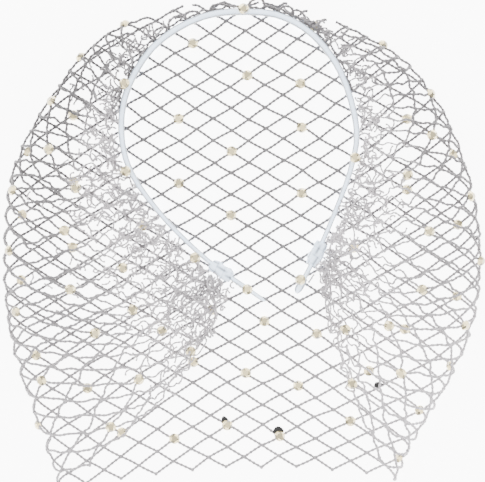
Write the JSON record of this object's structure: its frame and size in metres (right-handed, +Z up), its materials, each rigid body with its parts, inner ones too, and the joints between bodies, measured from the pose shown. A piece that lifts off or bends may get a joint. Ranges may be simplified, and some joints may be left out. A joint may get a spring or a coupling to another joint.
{
  "type": "veil headband",
  "caption": "Satin-wrapped headband with a veil of diamond netting set with clear crystals, laid flat with its net folded round the sides and gathered at the tips.",
  "frame": {"origin": "middle of the underside of the laid part, on the surface it rests on", "axes": "+Z up from the surface; +Y from the band's tips to its crown; +X to the right seen from above"},
  "size_m": [0.251, 0.2512, 0.0405],
  "materials": {
    "satin": "white satin ribbon, soft sheen",
    "net_cord": "twisted white cord, matt with a faint lustre",
    "crystal": "cut clear glass with a warm tint"
  },
  "bodies": {
    "root": {"headband": "satin", "left_tip": "satin", "right_tip": "satin", "left_binding": "satin", "right_binding": "satin", "veil_net": "net_cord", "crystal_01": "crystal", "crystal_02": "crystal", "crystal_03": "crystal", "crystal_04": "crystal", "crystal_05": "crystal", "crystal_06": "crystal", "crystal_07": "crystal", "crystal_08": "crystal", "crystal_09": "crystal", "crystal_10": "crystal", "crystal_11": "crystal", "crystal_12": "crystal", "crystal_13": "crystal", "crystal_14": "crystal", "crystal_15": "crystal", "crystal_16": "crystal", "crystal_17": "crystal", "crystal_18": "crystal", "crystal_19": "crystal", "crystal_20": "crystal", "crystal_21": "crystal", "crystal_22": "crystal", "crystal_23": "crystal", "crystal_24": "crystal", "crystal_25": "crystal", "crystal_26": "crystal", "crystal_27": "crystal", "crystal_28": "crystal", "crystal_29": "crystal", "crystal_30": "crystal", "crystal_31": "crystal", "crystal_32": "crystal"}
  },
  "joints": []
}
